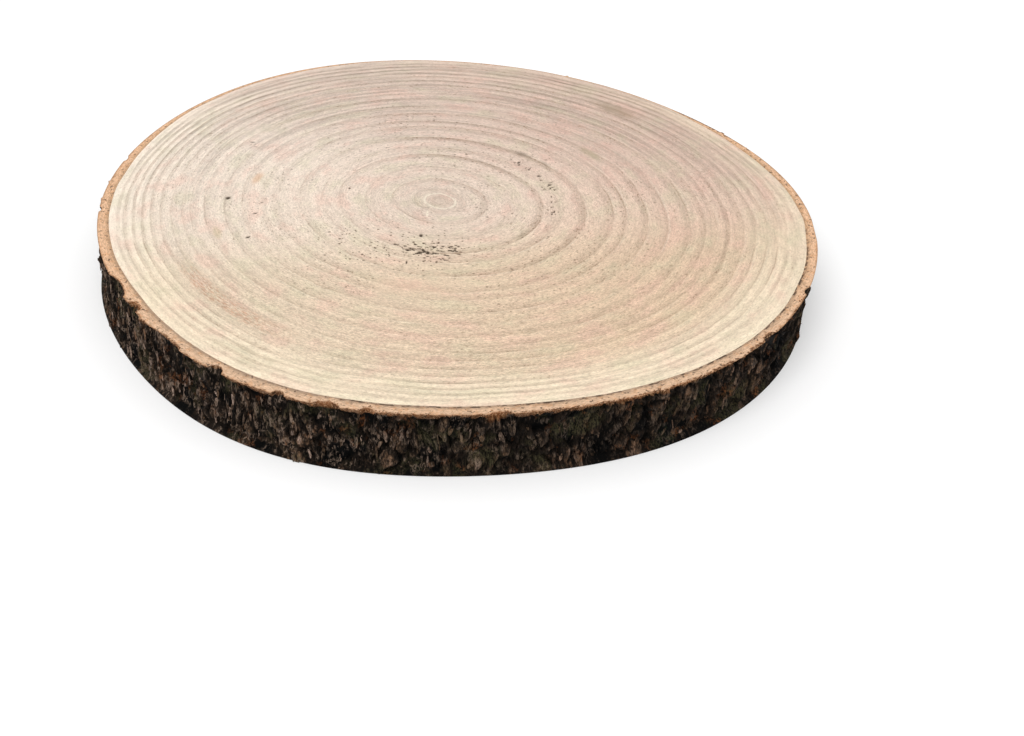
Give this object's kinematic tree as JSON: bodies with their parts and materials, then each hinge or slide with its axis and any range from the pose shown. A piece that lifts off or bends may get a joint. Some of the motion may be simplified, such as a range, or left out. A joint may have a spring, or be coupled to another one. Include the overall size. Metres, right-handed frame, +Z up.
{
  "type": "wood slice",
  "caption": "Round slice sawn across a tree trunk, with flat ringed cut faces and a wall of rough dark bark, lying on its lower face.",
  "frame": {"origin": "middle of the lower cut face, on the surface that the slice lies on", "axes": "+Z up along the trunk's grain, towards the upper cut face; +X to the viewer's right and -Y towards the viewer"},
  "size_m": [0.2837, 0.2785, 0.0268],
  "materials": {
    "wood": "sawn and lightly sanded, dry, matt",
    "inner_bark": "tan fibrous inner bark, matt",
    "outer_bark": "rough scaly outer bark, dull"
  },
  "bodies": {
    "root": {"wood_slice": "wood"}
  },
  "joints": []
}
